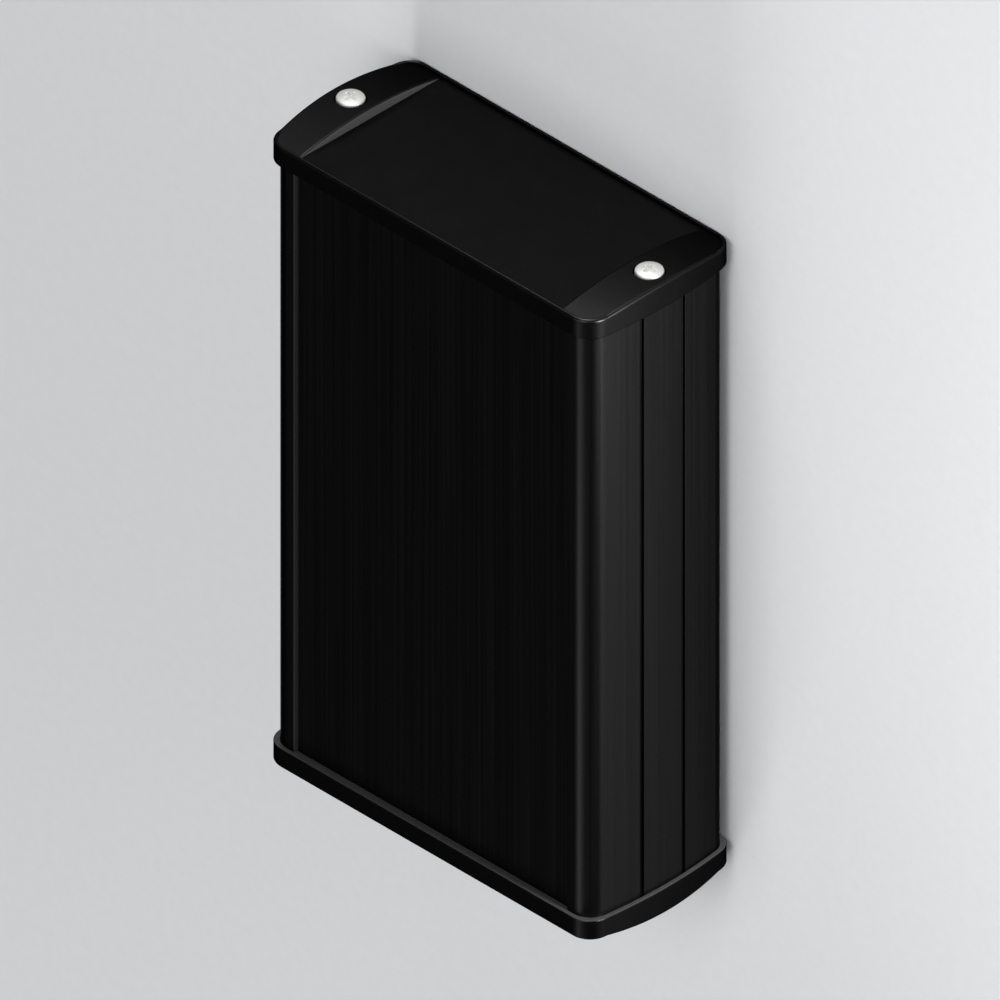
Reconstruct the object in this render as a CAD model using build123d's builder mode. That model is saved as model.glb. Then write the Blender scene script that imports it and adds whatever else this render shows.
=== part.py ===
from build123d import *
import os
from math import sqrt

# A small instrument enclosure: one extruded aluminium body, a die-cast cap over each open end and two
# self-tapping screws through each cap into the body's screw channels.
# X runs across the width, Y along the extrusion and Z up through the depth. The enclosure lies on one of
# its wide sides. The origin is under its centre, on the surface that the caps' long edges rest on.

# Extruded body
body_length = 166.0
body_width = 101.7
body_depth = 44.9
side_bow = 1.85
body_corner_radius = 5.4
side_wall = 1.8
wide_wall = 1.6
cavity_corner_radius = 1.5

# Full-length recess in each wide side, between two rounded lips
lip_width = 6.85
lip_radius = 0.4
recess_depth = 1.0

# Fine grooves along the narrow sides, each backed by a guide rib inside
groove_offset = 6.65
groove_width = 1.1
groove_depth = 0.8

# Guides for circuit boards 1.6 thick and 100 wide
guide_slot = 1.8
guide_rib = 1.2
guide_reach = 2.0
board_standoff = 5.0

# Self-tapping screws, with their thread cut back to its core
core_diameter = 2.9
screw_length = 16.0
screw_tip = 1.4
head_diameter = 6.8
head_height = 2.4
head_rim = 1.6
cross_width = 3.6
cross_slot = 1.1
cross_depth = 1.3
cross_taper = 15.0

# Slit channels of the body that the screws bite into
screw_inset = 4.5
channel_wall = 1.7
channel_slit = 1.2
channel_web = 4.0
core_clearance = 0.1

# Die-cast end caps: a rim round the body, a flat panel in a low border, a raised end at each narrow side
cap_overhang = 1.25
cap_corner_radius = 5.6
cap_clearance = 0.12
rim_lap = 1.85
rim_edge_radius = 0.3
panel_thickness = 2.35
border_height = 1.25
border_width = 0.95
border_inner_radius = 0.2
cap_edge_radius = 0.7
raised_length = 11.85
raised_height = 2.8
crest_radius = 0.5

# Screw holes in the caps
hole_diameter = 3.9
head_clearance = 0.3
head_floor = 3.6
mouth_radius = 0.2

# Locating tabs inside each cap
tab_width = 16.0
tab_thickness = 1.2
tab_length = 4.0
tab_spacing = 44.0
tab_clearance = 0.2
tab_chamfer = 0.4

# Places that the pieces share
half_width = body_width / 2
half_depth = body_depth / 2
side_radius = (half_depth**2 + side_bow**2) / (2 * side_bow)
side_centre = half_width + side_bow - side_radius
cavity_half_depth = half_depth - recess_depth - wide_wall
cap_half_depth = half_depth + cap_overhang
mid_depth = cap_half_depth
screw_x = half_width + side_bow - screw_inset
bore_diameter = core_diameter + core_clearance


def side_x(level, margin=0.0):
    """Distance from the middle to a narrow side, at a level from mid-depth, margin outside the body."""
    return side_centre + sqrt((side_radius + margin) ** 2 - level**2)


def bowed_section(margin, flat, corner_radius):
    """A section with flat long sides at plus and minus flat, and side arcs margin outside the body's."""
    corner = side_x(flat, margin)
    middle = side_x(0, margin)
    with BuildSketch(mode=Mode.PRIVATE) as section:
        with BuildLine():
            right = ThreePointArc((corner, -flat), (middle, 0), (corner, flat))
            top = Line(right @ 1, (-corner, flat))
            left = ThreePointArc(top @ 1, (-middle, 0), (-corner, -flat))
            Line(left @ 1, right @ 0)
        make_face()
        fillet(section.vertices(), corner_radius)
    return section.sketch


def recessed_section(margin):
    """The body's outer section with its two recesses, margin outside the body all round."""
    flat = half_depth + margin
    lip = half_width - lip_width - margin
    with BuildSketch(mode=Mode.PRIVATE) as section:
        add(bowed_section(margin, flat, body_corner_radius + margin))
        with GridLocations(0, 2 * flat, 1, 2):
            Rectangle(2 * lip, 2 * recess_depth, mode=Mode.SUBTRACT)
        corners = section.vertices().filter_by(lambda v: abs(v.X) < lip + lip_radius)
        fillet(corners.filter_by(lambda v: abs(v.Y) > flat - lip_radius), lip_radius)
    return section.sketch


# Body: one extrusion, sawn to length, with its guides, channels, recesses and grooves in the profile
with BuildPart() as body:
    with BuildSketch(Plane((0, 0, mid_depth), (1, 0, 0), (0, -1, 0))) as profile:
        add(recessed_section(0))
        add(bowed_section(-side_wall, cavity_half_depth, cavity_corner_radius), mode=Mode.SUBTRACT)

        groove_slot = groove_offset + (guide_rib + guide_slot) / 2
        outer_slot = cavity_half_depth - board_standoff - guide_slot / 2
        for slot_level in (groove_slot, outer_slot):
            for side_of_slot in (-1, 1):
                level = slot_level + side_of_slot * (guide_slot + guide_rib) / 2
                rib_root = side_x(level + guide_rib / 2, -side_wall / 2)
                rib_tip = side_x(level, -side_wall) - guide_reach
                with GridLocations(rib_root + rib_tip, 2 * level, 2, 2):
                    Rectangle(rib_root - rib_tip, guide_rib)

        web_root = side_x(0, -side_wall / 2)
        with GridLocations(web_root + screw_x, 0, 2, 1):
            Rectangle(web_root - screw_x, channel_web)
        with GridLocations(2 * screw_x, 0, 2, 1):
            Circle(bore_diameter / 2 + channel_wall)
            Circle(bore_diameter / 2, mode=Mode.SUBTRACT)
        slit_length = bore_diameter / 2 + 2 * channel_wall
        with GridLocations(2 * screw_x - slit_length, 0, 2, 1):
            Rectangle(slit_length, channel_slit, mode=Mode.SUBTRACT)

        with GridLocations(2 * side_x(groove_offset), 2 * groove_offset, 2, 2):
            Rectangle(2 * groove_depth, groove_width, mode=Mode.SUBTRACT)
    extrude(amount=body_length / 2, both=True)

# The caps and screws are made standing on the body's end face, with Z pointing out of it, and then placed.
cap_section = bowed_section(cap_overhang, cap_half_depth, cap_corner_radius)
border_top = panel_thickness + border_height
crown = panel_thickness + raised_height

# Raised end of a cap: its top is an arc across the depth, which starts at the panel's level inside the
# border, and its inner edge is a straight wall with a rounded crest
with BuildPart() as raised_end:
    with BuildSketch(Plane((side_x(0, cap_overhang), 0, 0), (0, 1, 0), (1, 0, 0))):
        with BuildLine():
            foot = (cap_half_depth, panel_thickness)
            top = ThreePointArc(foot, (0, crown), (-cap_half_depth, panel_thickness))
            Polyline(top @ 1, (-cap_half_depth, 0), (cap_half_depth, 0), top @ 0)
        make_face()
    extrude(amount=-raised_length)
    with BuildSketch():
        add(cap_section)
        Rectangle(2 * side_x(0, cap_overhang), 2 * cap_half_depth - border_width, mode=Mode.INTERSECT)
    extrude(amount=crown, mode=Mode.INTERSECT)
    top_edges = raised_end.faces().sort_by(Axis.Z)[-1].edges().sort_by(Axis.X)
    outer_corners_and_side = top_edges[-3:]
    fillet(outer_corners_and_side, cap_edge_radius)
    fillet(raised_end.faces().sort_by(Axis.X)[0].edges().sort_by(Axis.Z)[-1], crest_radius)

# Cap: a rounded plate with a border round its panel and both raised ends, a pocket that fits over the
# body's end, tabs that reach into the body, and counterbored screw holes
with BuildPart() as cap:
    with BuildSketch(Plane.XY.offset(-rim_lap)):
        add(cap_section)
    extrude(amount=rim_lap + border_top)
    fillet(cap.faces().sort_by(Axis.Z)[-1].edges(), cap_edge_radius)
    fillet(cap.faces().sort_by(Axis.Z)[0].edges(), rim_edge_radius)
    with BuildSketch(Plane.XY.offset(border_top)):
        panel_margin = cap_overhang - border_width
        panel_flat = cap_half_depth - border_width
        add(bowed_section(panel_margin, panel_flat, cap_corner_radius - border_width))
    extrude(amount=-border_height, mode=Mode.SUBTRACT)
    border_edges = cap.edges(Select.LAST).filter_by(Plane.XY).group_by(Axis.Z)[-1]
    fillet(border_edges, border_inner_radius)
    add(raised_end.part)
    add(raised_end.part, rotation=(0, 0, 180))

    with BuildSketch(Plane.XY.offset(-rim_lap)):
        add(recessed_section(cap_clearance))
    extrude(amount=rim_lap, mode=Mode.SUBTRACT)

    with BuildSketch(Plane.XY.offset(-tab_length)):
        with GridLocations(tab_spacing, 2 * (cavity_half_depth - tab_clearance) - tab_thickness, 2, 2):
            Rectangle(tab_width, tab_thickness)
    extrude(amount=tab_length + panel_thickness / 2)
    tab_tips = cap.faces().filter_by(Plane.XY).group_by(Axis.Z)[0].edges().filter_by(Axis.X)
    chamfer(tab_tips.group_by(SortBy.DISTANCE)[-1], tab_chamfer)

    counterbore = head_diameter / 2 + head_clearance
    with Locations((-screw_x, 0, crown), (screw_x, 0, crown)):
        CounterBoreHole(hole_diameter / 2, counterbore, crown - head_floor)
    mouth_edges = cap.edges(Select.LAST).sort_by(Axis.Z)[-2:]
    fillet(mouth_edges, mouth_radius)

# Screw, with its head seated at the origin: a domed head with a cross recess on a pointed shank
with BuildPart() as screw:
    with BuildSketch(Plane.XZ):
        with BuildLine():
            dome = TangentArc((0, head_height), (head_diameter / 2, head_rim), tangent=(1, 0))
            Polyline(
                dome @ 1,
                (head_diameter / 2, 0),
                (core_diameter / 2, 0),
                (core_diameter / 2, screw_tip - screw_length),
                (0, -screw_length),
                dome @ 0,
            )
        make_face()
    revolve(axis=Axis.Z)
    with BuildSketch(Plane.XY.offset(head_height)):
        Rectangle(cross_width, cross_slot)
        Rectangle(cross_slot, cross_width)
    extrude(amount=-cross_depth, taper=cross_taper, mode=Mode.SUBTRACT)

os.makedirs("parts", exist_ok=True)
body.part.label = "body"
export_step(body.part, "parts/body.step")
for end, outward in (("front", 1), ("rear", -1)):
    face = Plane((0, outward * body_length / 2, mid_depth), (outward, 0, 0), (0, outward, 0))
    with BuildPart(face) as end_cap:
        add(cap.part)
    end_cap.part.label = f"{end}_cap"
    export_step(end_cap.part, f"parts/{end_cap.part.label}.step")
    for side, across in (("left", -1), ("right", 1)):
        with BuildPart(face) as end_screw:
            with Locations((across * outward * screw_x, 0, head_floor)):
                add(screw.part)
        end_screw.part.label = f"{end}_{side}_screw"
        export_step(end_screw.part, f"parts/{end_screw.part.label}.step")
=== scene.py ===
import bmesh
import bpy
import numpy as np
from mathutils import Matrix, Vector
from mathutils.geometry import tessellate_polygon


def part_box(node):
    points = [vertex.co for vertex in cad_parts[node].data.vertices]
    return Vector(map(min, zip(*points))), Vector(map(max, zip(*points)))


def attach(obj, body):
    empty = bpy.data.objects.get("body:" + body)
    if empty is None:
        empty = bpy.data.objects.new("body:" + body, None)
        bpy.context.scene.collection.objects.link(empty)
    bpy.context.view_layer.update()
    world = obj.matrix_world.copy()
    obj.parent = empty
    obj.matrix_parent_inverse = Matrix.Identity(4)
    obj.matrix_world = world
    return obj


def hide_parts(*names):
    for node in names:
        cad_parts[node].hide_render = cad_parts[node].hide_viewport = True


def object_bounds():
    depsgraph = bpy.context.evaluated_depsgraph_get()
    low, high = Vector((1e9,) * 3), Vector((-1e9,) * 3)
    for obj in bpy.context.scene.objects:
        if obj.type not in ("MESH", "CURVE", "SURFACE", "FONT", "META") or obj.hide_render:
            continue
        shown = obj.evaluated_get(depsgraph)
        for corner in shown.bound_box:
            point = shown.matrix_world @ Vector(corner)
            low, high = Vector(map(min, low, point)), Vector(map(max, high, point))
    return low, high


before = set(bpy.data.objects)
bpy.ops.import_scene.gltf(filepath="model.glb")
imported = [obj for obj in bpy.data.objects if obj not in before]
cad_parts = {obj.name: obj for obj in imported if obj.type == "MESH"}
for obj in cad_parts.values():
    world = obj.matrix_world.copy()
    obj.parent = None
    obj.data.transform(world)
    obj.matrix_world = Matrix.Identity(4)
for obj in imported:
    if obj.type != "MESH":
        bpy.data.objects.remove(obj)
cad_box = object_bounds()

# Viewpoint: an exact isometric look at the case, from in front of its right side and its front cap, with
# its long axis upright in the picture. There is no perspective, so equal lengths stay equal all over.
PICTURE_WIDTH = 0.2281
CAMERA_DISTANCE = 1.2

case_centre = (cad_box[0] + cad_box[1]) / 2
looking_back = Vector((1, 1, 1)).normalized()
picture_right = Vector((1, 0, -1)).normalized()
picture_up = looking_back.cross(picture_right)

camera_data = bpy.data.cameras.new("camera")
camera_data.type = "ORTHO"
camera_data.ortho_scale = PICTURE_WIDTH
camera = bpy.data.objects.new("camera", camera_data)
camera_turn = Matrix((picture_right, picture_up, looking_back)).transposed().to_4x4()
camera.matrix_world = Matrix.Translation(case_centre + CAMERA_DISTANCE * looking_back) @ camera_turn
bpy.context.scene.collection.objects.link(camera)
bpy.context.scene.camera = camera

# Extruded body: one length of aluminium tube, sawn off and black anodised. The die gave it its bowed
# narrow sides, the recess of each wide side, the fine grooves, and inside the guides and screw channels.
# Its profile is worked out in millimetres from the middle of the section and carried along Y.
MM = 0.001
CLOSEST_POINTS = 0.0001
BODY_WIDTH = 101.7
BODY_DEPTH = 44.9
SIDE_BOW = 1.85
BODY_CORNER_RADIUS = 5.4
LIP_WIDTH = 6.85
LIP_RADIUS = 0.3
LIP_WALL_LEAN = 0.3
RECESS_DEPTH = 1.0
RECESS_ROOT_RADIUS = 0.1
GROOVE_OFFSET = 6.65
GROOVE_WIDTH = 1.1
GROOVE_DEPTH = 0.8
GROOVE_RADIUS = 0.12
SIDE_WALL = 1.8
WIDE_WALL = 1.6
CAVITY_CORNER_RADIUS = 1.5
GUIDE_SLOT = 1.8
BOARD_STANDOFF = 5.0
RIB_THICKNESS = 1.2
RIB_REACH = 2.0
RIB_RADIUS = 0.25
SCREW_INSET = 4.5
BORE_RADIUS = 1.5
CHANNEL_WALL = 1.7
CHANNEL_SLIT = 1.2
CHANNEL_WEB = 4.0

half_width, half_depth = BODY_WIDTH / 2, BODY_DEPTH / 2
bow_radius = (half_depth**2 + SIDE_BOW**2) / (2 * SIDE_BOW)
bow_centre = half_width + SIDE_BOW - bow_radius
recess_level = half_depth - RECESS_DEPTH
cavity_level = recess_level - WIDE_WALL
lip_edge = half_width - LIP_WIDTH
rib_spacing = GUIDE_SLOT + RIB_THICKNESS
last_rib = cavity_level - BOARD_STANDOFF + RIB_THICKNESS / 2
rib_levels = (GROOVE_OFFSET, GROOVE_OFFSET + rib_spacing, last_rib - rib_spacing, last_rib)
screw_x = half_width + SIDE_BOW - SCREW_INSET
channel_radius = BORE_RADIUS + CHANNEL_WALL


def side_x(level, inset=0.0):
    """Where the bowed side is at a level: the arc's centre plus the root of its radius squared less the
    level squared."""
    return bow_centre + np.sqrt((bow_radius - inset) ** 2 - np.square(level))


def arc(centre, radius, start, stop, steps):
    """Points on a circle, from one angle in degrees to another: the centre plus the radius times the
    cosine and the sine."""
    angle = np.radians(np.linspace(start, stop, steps + 1))
    return np.column_stack([centre[0] + radius * np.cos(angle), centre[1] + radius * np.sin(angle)])


def side_arc(low, high, steps, inset=0.0):
    """Points of the bowed side between two levels, evenly spaced in level."""
    level = np.linspace(low, high, steps + 1)
    return np.column_stack([side_x(level, inset), level])


def side_corner(flat, radius, steps, inset=0.0):
    """The arc that joins the bowed side to a flat at a level: its centre is one radius inside both."""
    middle = flat - radius
    reach = bow_radius - inset - radius
    tangent = np.degrees(np.arcsin(middle / reach))
    return arc((bow_centre + np.sqrt(reach**2 - middle**2), middle), radius, tangent, 90, steps)


def rounded(corners, radius, steps=5):
    """A line through corners, each but the first and last made an arc of that radius. The arc's centre is
    on the corner's bisector, at the radius over the sine of half the corner, and its points turn one
    tangent point's spoke into the other's: the sines of the two shares of the turn weigh the spokes."""
    p = np.asarray(corners, float)
    corner, back, on = p[1:-1], p[:-2] - p[1:-1], p[2:] - p[1:-1]
    back /= np.linalg.norm(back, axis=1)[:, None]
    on /= np.linalg.norm(on, axis=1)[:, None]
    half = np.arccos(np.clip((back * on).sum(1), -1, 1)) / 2
    bisector = (back + on) / np.linalg.norm(back + on, axis=1)[:, None]
    centre = corner + bisector * (radius / np.sin(half))[:, None]
    tangent_length = (radius / np.tan(half))[:, None]
    first = corner + back * tangent_length - centre
    last = corner + on * tangent_length - centre
    turn = (np.pi - 2 * half)[:, None, None]
    share = np.linspace(0, 1, steps + 1)[None, :, None]
    spokes = np.sin((1 - share) * turn) * first[:, None] + np.sin(share * turn) * last[:, None]
    return np.vstack([p[:1], (centre[:, None] + spokes / np.sin(turn)).reshape(-1, 2), p[-1:]])


def outer_quarter():
    """A quarter of the outline, from the X axis round to the Z axis: the bowed side with its groove, the
    big corner, the lip and the recess."""
    mouth_low, mouth_high = GROOVE_OFFSET - GROOVE_WIDTH / 2, GROOVE_OFFSET + GROOVE_WIDTH / 2
    groove_x = side_x(GROOVE_OFFSET) - GROOVE_DEPTH
    corner = side_corner(half_depth, BODY_CORNER_RADIUS, steps=32)
    below = side_arc(0, mouth_low, steps=14)
    above = side_arc(mouth_high, corner[0, 1], steps=22)
    groove = rounded([
        below[-2], below[-1], (groove_x, mouth_low), (groove_x, mouth_high), above[0], above[1],
    ], GROOVE_RADIUS)
    lip_foot = (lip_edge - LIP_WALL_LEAN, recess_level)
    lip = rounded([corner[-1], (lip_edge, half_depth), lip_foot], LIP_RADIUS, steps=8)
    root = rounded([lip[-2], lip_foot, (0, recess_level)], RECESS_ROOT_RADIUS)
    return np.vstack([below[:-1], groove[1:-1], above[1:], corner[1:], lip[1:-1], root[1:]])


def inner_quarter():
    """A quarter of the cavity's outline, from the X axis round to the Z axis: the bore and slit of the
    screw channel, its round outside, the guide ribs and the corner."""
    centre = (screw_x, 0)
    bore_end = 180 - np.degrees(np.arcsin(CHANNEL_SLIT / 2 / BORE_RADIUS))
    outside_start = 180 - np.degrees(np.arcsin(CHANNEL_SLIT / 2 / channel_radius))
    outside_end = np.degrees(np.arcsin(CHANNEL_WEB / 2 / channel_radius))
    pieces = [
        arc(centre, BORE_RADIUS, 0, bore_end, steps=16),
        arc(centre, channel_radius, outside_start, outside_end, steps=20),
        side_arc(CHANNEL_WEB / 2, rib_levels[0] - RIB_THICKNESS, steps=4, inset=SIDE_WALL),
    ]
    for level in rib_levels:
        low, high = level - RIB_THICKNESS / 2, level + RIB_THICKNESS / 2
        root = side_x(level, SIDE_WALL)
        tip = root - RIB_REACH
        pieces.append(rounded([
            (root, low - RIB_THICKNESS / 2), (root, low), (tip, low), (tip, high), (root, high),
            (root, high + RIB_THICKNESS / 2),
        ], RIB_RADIUS))
    pieces.append(side_corner(cavity_level, CAVITY_CORNER_RADIUS, steps=8, inset=SIDE_WALL))
    return np.vstack(pieces)


def whole_loop(quarter):
    """The closed outline whose quarter is given: mirrored across the Z axis, then across the X axis, with
    points that fall together left out."""
    right_top = np.vstack([quarter, [[0.0, quarter[-1, 1]]]])
    top = np.vstack([right_top, right_top[-2::-1] * (-1, 1)])
    loop = np.vstack([top, top[-2:0:-1] * (1, -1)])
    apart = np.linalg.norm(loop - np.roll(loop, 1, axis=0), axis=1) > CLOSEST_POINTS
    return loop[apart]


def finished_mesh(name, vertices, faces, sharp_angle):
    """A mesh object from arrays: doubles merged, faces turned outwards, edges over an angle kept sharp,
    and each point's normal weighted by the size of the faces round it, so that flat faces stay flat."""
    mesh = bpy.data.meshes.new(name)
    mesh.from_pydata(vertices.tolist(), [], faces)
    shell = bmesh.new()
    shell.from_mesh(mesh)
    bmesh.ops.remove_doubles(shell, verts=shell.verts, dist=CLOSEST_POINTS * MM)
    bmesh.ops.recalc_face_normals(shell, faces=shell.faces)
    shell.to_mesh(mesh)
    shell.free()
    mesh.shade_smooth()
    mesh.set_sharp_from_angle(angle=np.radians(sharp_angle))
    piece = bpy.data.objects.new(name, mesh)
    bpy.context.scene.collection.objects.link(piece)
    weighted = piece.modifiers.new("flat_faces_stay_flat", "WEIGHTED_NORMAL")
    weighted.keep_sharp = True
    return piece


def carried_profile(name, outer, inner, end_y, height):
    """A tube along Y between plus and minus an end: a wall of four-sided faces between the two copies of
    each loop, and a ring of triangles between the loops at either end."""
    rings = [
        np.column_stack([loop[:, 0], np.full(len(loop), y), loop[:, 1] + height]) * MM
        for loop in (outer, inner) for y in (-end_y, end_y)
    ]
    starts = np.cumsum([0] + [len(ring) for ring in rings])
    numbers = [np.arange(start, start + len(ring)) for start, ring in zip(starts, rings)]
    faces = []
    for near, far in ((0, 1), (2, 3)):
        wall = [numbers[near], np.roll(numbers[near], -1), np.roll(numbers[far], -1), numbers[far]]
        faces += np.column_stack(wall).tolist()
    for outside, inside in ((0, 2), (1, 3)):
        both = np.concatenate([numbers[outside], numbers[inside]])
        outlines = [[Vector(point) for point in rings[ring].tolist()] for ring in (outside, inside)]
        faces += both[np.array(tessellate_polygon(outlines))].tolist()
    return finished_mesh(name, np.vstack(rings), faces, sharp_angle=35)


body_low, body_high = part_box("body")
mid_depth = (body_low.z + body_high.z) / 2 / MM
body_end = body_high.y / MM
extrusion = carried_profile(
    "extruded_body", whole_loop(outer_quarter()), whole_loop(inner_quarter()), body_end, mid_depth
)
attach(extrusion, "root")
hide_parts("body")


def linear(code):
    """Linear RGBA of an sRGB hex colour such as "1a2b3c": each channel goes through the sRGB curve."""
    channels = np.array([int(code[i:i + 2], 16) for i in (0, 2, 4)]) / 255
    curved = np.where(channels <= 0.04045, channels / 12.92, ((channels + 0.055) / 1.055) ** 2.4)
    return (*curved.tolist(), 1.0)


def add_node(tree, kind, values=None, **settings):
    """Adds one node with its settings, and gives each named input its value, or a link from a socket."""
    node = tree.nodes.new(kind)
    for name, setting in settings.items():
        setattr(node, name, setting)
    for name, value in (values or {}).items():
        if isinstance(value, bpy.types.NodeSocket):
            tree.links.new(value, node.inputs[name])
        else:
            node.inputs[name].default_value = value
    return node


def new_material(name):
    """An empty node material, with its tree, its Object coordinates and the output that a shader feeds."""
    material = bpy.data.materials.new(name)
    material.use_nodes = True
    material.node_tree.nodes.clear()
    places = add_node(material.node_tree, "ShaderNodeTexCoord").outputs["Object"]
    surface = add_node(material.node_tree, "ShaderNodeOutputMaterial").inputs["Surface"]
    return material, material.node_tree, places, surface


def band_at(tree, place, middle, offset, width):
    """One where a place is an offset from the middle on either side, to within a width in millimetres,
    and nothing elsewhere."""
    gap = add_node(tree, "ShaderNodeMath", {0: place, 1: middle * MM}, operation="SUBTRACT").outputs["Value"]
    size = add_node(tree, "ShaderNodeMath", {0: gap}, operation="ABSOLUTE").outputs["Value"]
    return add_node(tree, "ShaderNodeMath", {
        0: size, 1: offset * MM, 2: width * MM,
    }, operation="COMPARE").outputs["Value"]


# Black anodised aluminium, extruded and then etched. The die leaves faint lines along the length, about
# 0.7 mm apart, and the etch a fine grain, so it is a dark satin metal with a slightly streaked gloss. The
# dye in its skin also dims what it mirrors at a glancing angle, which the specular tint gives. The narrow
# wall of each lip is painted a matt dark grey, not metal: a painted highlight for the light it catches.
DIE_LINE_SPACING = 0.7
DIE_LINE_LENGTH = 160.0
ETCH_GRAIN = 0.35
LIP_HIGHLIGHT_MARGIN = 0.06

anodised, tree, places, surface = new_material("black_anodised_extruded_aluminium")
stretched = add_node(tree, "ShaderNodeMapping", {
    "Vector": places,
    "Scale": (1 / (DIE_LINE_SPACING * MM), 1 / (DIE_LINE_LENGTH * MM), 1 / (DIE_LINE_SPACING * MM)),
}).outputs["Vector"]
die_lines = add_node(tree, "ShaderNodeTexNoise", {
    "Vector": stretched, "Scale": 1.0, "Detail": 4.0, "Roughness": 0.6,
}).outputs["Fac"]
grain = add_node(tree, "ShaderNodeTexNoise", {
    "Vector": places, "Scale": 1 / (ETCH_GRAIN * MM), "Detail": 2.0,
}).outputs["Fac"]
place = add_node(tree, "ShaderNodeSeparateXYZ", {"Vector": places}).outputs
# Painted highlight: the lip walls take a paler matt grey in place of the black metal.
lip_wall = band_at(tree, place["X"], 0, lip_edge - LIP_WALL_LEAN / 2, LIP_WALL_LEAN / 2 + LIP_HIGHLIGHT_MARGIN)
above_recess = band_at(tree, place["Z"], mid_depth, half_depth, RECESS_DEPTH - LIP_HIGHLIGHT_MARGIN)
painted_lip_highlight = add_node(tree, "ShaderNodeMath", {
    0: lip_wall, 1: above_recess,
}, operation="MULTIPLY").outputs["Value"]
dye = add_node(tree, "ShaderNodeMix", {
    "Factor": die_lines, "A": linear("272727"), "B": linear("2d2d2d"),
}, data_type="RGBA").outputs["Result"]
colour = add_node(tree, "ShaderNodeMix", {
    "Factor": painted_lip_highlight, "A": dye, "B": linear("343434"),
}, data_type="RGBA").outputs["Result"]
metallic = add_node(tree, "ShaderNodeMath", {0: 1.0, 1: painted_lip_highlight}, operation="SUBTRACT").outputs["Value"]
gloss = add_node(tree, "ShaderNodeMapRange", {
    "Value": die_lines, "From Min": 0.3, "From Max": 0.7, "To Min": 0.31, "To Max": 0.38,
}).outputs["Result"]
line_relief = add_node(tree, "ShaderNodeBump", {
    "Strength": 0.25, "Distance": 0.00004, "Height": die_lines,
}).outputs["Normal"]
relief = add_node(tree, "ShaderNodeBump", {
    "Strength": 0.2, "Distance": 0.00003, "Height": grain, "Normal": line_relief,
}).outputs["Normal"]
finish = add_node(tree, "ShaderNodeBsdfPrincipled", {
    "Base Color": colour, "Metallic": metallic, "Roughness": gloss, "Normal": relief,
    "Specular Tint": linear("989898"),
})
tree.links.new(finish.outputs["BSDF"], surface)
extrusion.data.materials.append(anodised)

# End caps: two aluminium die castings, black anodised like the body, that close its ends. Each has a rim
# round the body, a flat panel in a low border and a raised end over each screw, and two screws hold it.
# Their solids already have the true shape, so they stay as they are and only take their finish here.
CAP_OVERHANG = 1.25
RIM_LAP = 1.85
PANEL_THICKNESS = 2.35
RAISED_LENGTH = 11.85
RAISED_HEIGHT = 2.8
PAINTED_HIGHLIGHT_MARGIN = 0.06

rim_edge_y = body_end - RIM_LAP
panel_y = body_end + PANEL_THICKNESS
raised_wall_x = half_width + SIDE_BOW + CAP_OVERHANG - RAISED_LENGTH

# Black anodised die-cast aluminium. The silicon in the casting alloy makes the black deeper and duller than
# the body's, with a tone that wanders over about 6 mm and no bright glancing reflection. Blasting leaves a
# fine grain of about 0.4 mm without any lines. The rim's edge and the raised ends' inner walls are painted
# a matt dark grey, not metal: a painted highlight for the light they catch.
BLASTED_GRAIN = 0.4
CASTING_MOTTLE = 6.0

cast, tree, places, surface = new_material("black_anodised_cast_aluminium")
grain = add_node(tree, "ShaderNodeTexNoise", {
    "Vector": places, "Scale": 1 / (BLASTED_GRAIN * MM), "Detail": 3.0,
}).outputs["Fac"]
mottle = add_node(tree, "ShaderNodeTexNoise", {
    "Vector": places, "Scale": 1 / (CASTING_MOTTLE * MM), "Detail": 2.0,
}).outputs["Fac"]
place = add_node(tree, "ShaderNodeSeparateXYZ", {"Vector": places}).outputs
# Painted highlight: the rim's edge and the raised ends' inner walls take a paler matt grey, not metal.
rim_edge = band_at(tree, place["Y"], 0, rim_edge_y, PAINTED_HIGHLIGHT_MARGIN)
raised_wall = band_at(tree, place["X"], 0, raised_wall_x, PAINTED_HIGHLIGHT_MARGIN)
past_panel = band_at(tree, place["Y"], 0, panel_y + RAISED_HEIGHT, RAISED_HEIGHT - PAINTED_HIGHLIGHT_MARGIN)
inside_border = band_at(tree, place["Z"], mid_depth, 0, half_depth)
for limit in (past_panel, inside_border):
    raised_wall = add_node(tree, "ShaderNodeMath", {
        0: raised_wall, 1: limit,
    }, operation="MULTIPLY").outputs["Value"]
painted_highlight = add_node(tree, "ShaderNodeMath", {
    0: rim_edge, 1: raised_wall,
}, operation="MAXIMUM").outputs["Value"]
dye = add_node(tree, "ShaderNodeMix", {
    "Factor": mottle, "A": linear("222222"), "B": linear("272727"),
}, data_type="RGBA").outputs["Result"]
colour = add_node(tree, "ShaderNodeMix", {
    "Factor": painted_highlight, "A": dye, "B": linear("424242"),
}, data_type="RGBA").outputs["Result"]
metallic = add_node(tree, "ShaderNodeMath", {0: 1.0, 1: painted_highlight}, operation="SUBTRACT").outputs["Value"]
gloss = add_node(tree, "ShaderNodeMapRange", {
    "Value": grain, "From Min": 0.3, "From Max": 0.7, "To Min": 0.33, "To Max": 0.39,
}).outputs["Result"]
relief = add_node(tree, "ShaderNodeBump", {
    "Strength": 0.25, "Distance": 0.00003, "Height": grain,
}).outputs["Normal"]
finish = add_node(tree, "ShaderNodeBsdfPrincipled", {
    "Base Color": colour, "Metallic": metallic, "Roughness": gloss, "Normal": relief,
    "Specular Tint": linear("000000"),
})
tree.links.new(finish.outputs["BSDF"], surface)
for name in ("front_cap", "rear_cap"):
    for material_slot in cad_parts[name].material_slots:
        material_slot.material = cast

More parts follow.
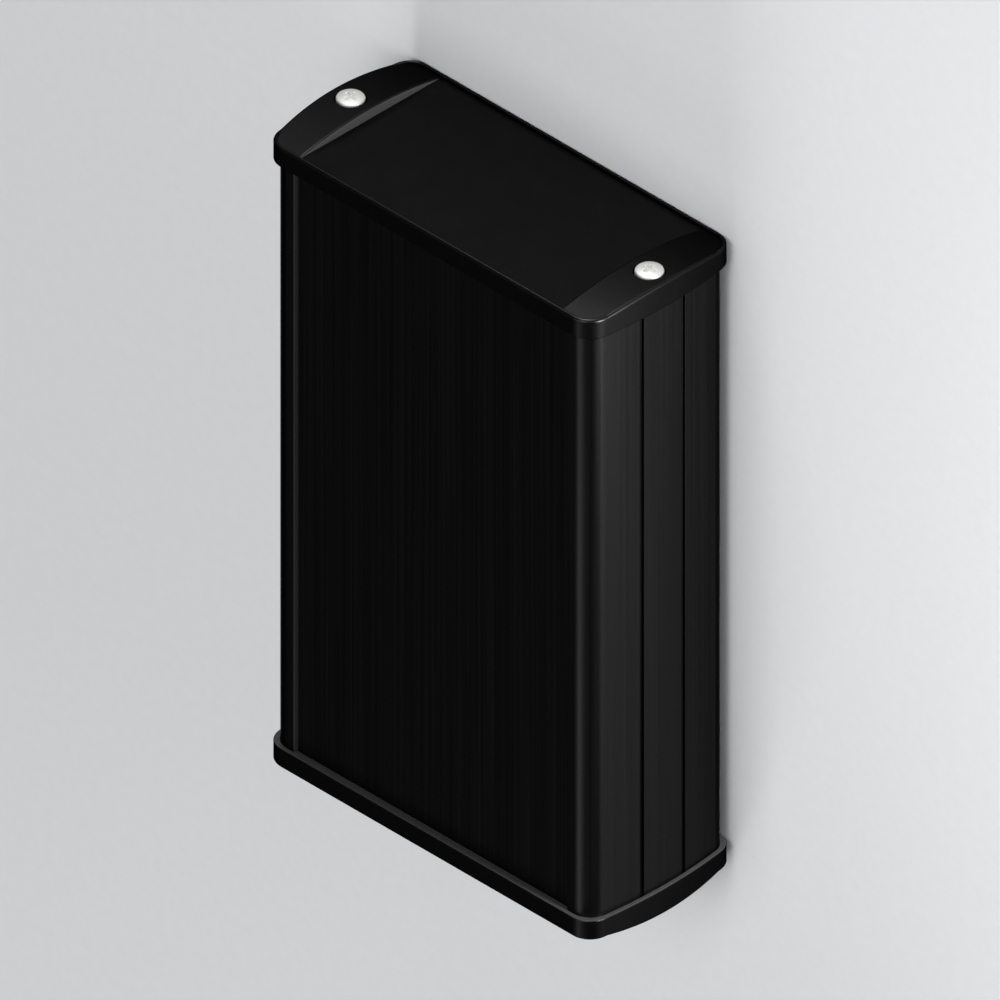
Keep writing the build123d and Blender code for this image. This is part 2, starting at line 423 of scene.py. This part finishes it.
# Screws: four self-tapping pan-head screws with a 3.5 mm thread, cold-headed and rolled from steel wire and
# then zinc plated. A cross recess drives each through its cap into a screw channel of the body. The foot
# of the thread's tooth is given as a share of the pitch.
METAL_UNDER_HEAD = 3.6
HEAD_RADIUS = 3.4
HEAD_HEIGHT = 2.36
HEAD_RIM = 1.85
HEAD_EDGE_RADIUS = 0.4
CROSS_LENGTH = 3.6
CROSS_WIDTH = 1.1
CROSS_DEPTH = 0.3
CROSS_SLOPE = 0.45
CORE_RADIUS = 1.45
THREAD_RADIUS = 1.75
THREAD_PITCH = 1.3
THREAD_FOOT = 0.45
THREAD_RUNOUT = 1.0
SHANK_LENGTH = 16.0
POINT_LENGTH = 1.4
DOME_RINGS = 56
SHANK_RINGS = 150
POINTS_AROUND = 96


def cross_recess(across, along):
    """Depth of the drive recess: how far a point is inside the nearer of two crossed bars, over the width
    of the sloping wall, cut off at one and eased by 3t^2 - 2t^3, times the full depth."""
    long_way, short_way = CROSS_LENGTH / 2, CROSS_WIDTH / 2
    first = np.minimum(long_way - np.abs(across), short_way - np.abs(along))
    second = np.minimum(short_way - np.abs(across), long_way - np.abs(along))
    share = np.clip(np.maximum(first, second) / CROSS_SLOPE, 0, 1)
    return CROSS_DEPTH * share**2 * (3 - 2 * share)


def thread_radius(height, turn):
    """Radius of the threaded shank: the core's plus a tooth, whose foot takes up a share of the pitch and
    whose flanks are straight, once for each pitch down the shank less one turn round it. The tooth runs
    out under the head, and at the point the whole narrows in a straight line to nothing."""
    phase = np.mod(height / THREAD_PITCH - turn / (2 * np.pi), 1)
    tooth = np.clip(1 - np.abs(2 * phase - 1) / THREAD_FOOT, 0, 1)
    runout = np.clip(-height / THREAD_RUNOUT, 0, 1)
    narrowing = np.clip((height + SHANK_LENGTH) / POINT_LENGTH, 0, 1)
    return (CORE_RADIUS + (THREAD_RADIUS - CORE_RADIUS) * tooth * runout) * narrowing


def screw_mesh(name, x, outward):
    """A surface of two parameters, the way down the profile and the turn round the axis: the head's dome
    is an arc of a circle less the recess, and below the seat the radius is the thread's."""
    crown = HEAD_HEIGHT - HEAD_RIM
    dome_radius = (HEAD_RADIUS**2 + crown**2) / (2 * crown)
    dome_r = np.linspace(0, HEAD_RADIUS - HEAD_EDGE_RADIUS, DOME_RINGS)
    dome_z = HEAD_HEIGHT - dome_radius + np.sqrt(dome_radius**2 - dome_r**2)
    edge = rounded([
        (dome_r[-1], dome_z[-1]), (HEAD_RADIUS, HEAD_RIM), (HEAD_RADIUS, 0), (CORE_RADIUS, 0),
    ], HEAD_EDGE_RADIUS)
    head = np.vstack([np.column_stack([dome_r, dome_z]), edge[1:]])
    down = np.linspace(0, -SHANK_LENGTH, SHANK_RINGS + 1)[1:]
    turn = np.linspace(0, 2 * np.pi, POINTS_AROUND, endpoint=False)
    height = np.repeat(np.concatenate([head[:, 1], down])[:, None], POINTS_AROUND, axis=1)
    head_radii = np.repeat(head[:, :1], POINTS_AROUND, axis=1)
    radius = np.vstack([head_radii, thread_radius(height[len(head):], turn)])
    across, along = radius * np.cos(turn), radius * np.sin(turn)
    height[:DOME_RINGS] -= cross_recess(across[:DOME_RINGS], along[:DOME_RINGS])
    out_of_cap = outward * (body_end + METAL_UNDER_HEAD + height)
    place = np.stack([x + across, out_of_cap, mid_depth + along], axis=-1) * MM
    number = np.arange(radius.size).reshape(radius.shape)
    beside = np.roll(number, -1, axis=1)
    faces = np.stack([number[:-1], number[1:], beside[1:], beside[:-1]], axis=-1)
    return finished_mesh(name, place.reshape(-1, 3), faces.reshape(-1, 4).tolist(), sharp_angle=50)


# Zinc plating over steel: a pale grey metal, dull satin from the fine crystals of the plating. The headed
# surface under it is a little uneven at about 0.5 mm, so that the gloss breaks up in soft patches.
PLATING_MOTTLE = 0.5

plated, tree, places, surface = new_material("zinc_plated_steel")
mottle = add_node(tree, "ShaderNodeTexNoise", {
    "Vector": places, "Scale": 1 / (PLATING_MOTTLE * MM), "Detail": 2.0,
}).outputs["Fac"]
satin = add_node(tree, "ShaderNodeMapRange", {
    "Value": mottle, "From Min": 0.3, "From Max": 0.7, "To Min": 0.58, "To Max": 0.66,
}).outputs["Result"]
metal = add_node(tree, "ShaderNodeMix", {
    "Factor": mottle, "A": linear("b6b6b2"), "B": linear("c4c4c0"),
}, data_type="RGBA").outputs["Result"]
unevenness = add_node(tree, "ShaderNodeBump", {
    "Strength": 0.2, "Distance": 0.00003, "Height": mottle,
}).outputs["Normal"]
finish = add_node(tree, "ShaderNodeBsdfPrincipled", {
    "Base Color": metal, "Metallic": 1.0, "Roughness": satin, "Normal": unevenness,
})
tree.links.new(finish.outputs["BSDF"], surface)

for end, outward in (("front", 1), ("rear", -1)):
    for side, across in (("left", -1), ("right", 1)):
        screw = screw_mesh(f"{end}_{side}_pan_head_screw", across * outward * screw_x, outward)
        screw.data.materials.append(plated)
        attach(screw, "root")
        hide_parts(f"{end}_{side}_screw")

# Floor: a wide sheet with a matt pale grey paint, rolled on, that the case lies on. The paint's slight
# unevenness is about 3 mm across and shows only as a faint change of tone.
FLOOR_SIZE = 8.0
ROLLER_MARKS = 3.0

reach = FLOOR_SIZE / 2
floor_mesh = bpy.data.meshes.new("floor")
corners = [(-reach, -reach, 0), (reach, -reach, 0), (reach, reach, 0), (-reach, reach, 0)]
floor_mesh.from_pydata(corners, [], [(0, 1, 2, 3)])
floor = bpy.data.objects.new("floor", floor_mesh)
bpy.context.scene.collection.objects.link(floor)

painted, tree, places, surface = new_material("matt_pale_floor_paint")
marks = add_node(tree, "ShaderNodeTexNoise", {
    "Vector": places, "Scale": 1 / (ROLLER_MARKS * MM), "Detail": 1.0,
}).outputs["Fac"]
tone = add_node(tree, "ShaderNodeMix", {
    "Factor": marks, "A": linear("cccdcf"), "B": linear("d0d1d3"),
}, data_type="RGBA").outputs["Result"]
finish = add_node(tree, "ShaderNodeBsdfPrincipled", {
    "Base Color": tone, "Roughness": 0.9, "Specular IOR Level": 0.1,
})
tree.links.new(finish.outputs["BSDF"], surface)
floor_mesh.materials.append(painted)

# Light: a plain, dim studio, in metres. A large soft lamp high on the viewer's side and one overhead light
# the floor, and a low one behind glances off the rounded lips. A small one lights the long corner, and two
# stand low, beside the narrow side and before the front cap, for the soft fall of light along them.
world = bpy.data.worlds.new("studio")
world.use_nodes = True
world.node_tree.nodes["Background"].inputs["Color"].default_value = (1, 1, 1, 1)
world.node_tree.nodes["Background"].inputs["Strength"].default_value = 0.03
bpy.context.scene.world = world


def soft_lamp(name, place, width, height, watts):
    """A rectangular lamp at a place measured from the case's centre, turned towards the case."""
    data = bpy.data.lights.new(name, "AREA")
    data.shape = "RECTANGLE"
    data.size, data.size_y = width, height
    data.energy = watts
    lamp = bpy.data.objects.new(name, data)
    away = Vector(place)
    turn = away.to_track_quat("Z", "Y").to_matrix().to_4x4()
    lamp.matrix_world = Matrix.Translation(case_centre + away) @ turn
    bpy.context.scene.collection.objects.link(lamp)


soft_lamp("viewer_lamp", place=(1.10, 1.40, 3.30), width=2.0, height=2.0, watts=65)
soft_lamp("top_lamp", place=(0.00, 0.00, 3.00), width=2.0, height=2.0, watts=30)
soft_lamp("rear_lamp", place=(-0.27, -2.43, 1.13), width=1.2, height=1.2, watts=35)
soft_lamp("corner_lamp", place=(-0.18, -0.87, 1.22), width=0.3, height=0.3, watts=1.0)
soft_lamp("side_lamp", place=(0.42, 0.07, 0.00), width=0.2, height=0.044, watts=3.6)
soft_lamp("end_lamp", place=(-0.04, 0.50, 0.01), width=0.2, height=0.06, watts=2.0)

scene = bpy.context.scene
scene.view_settings.view_transform = "Standard"
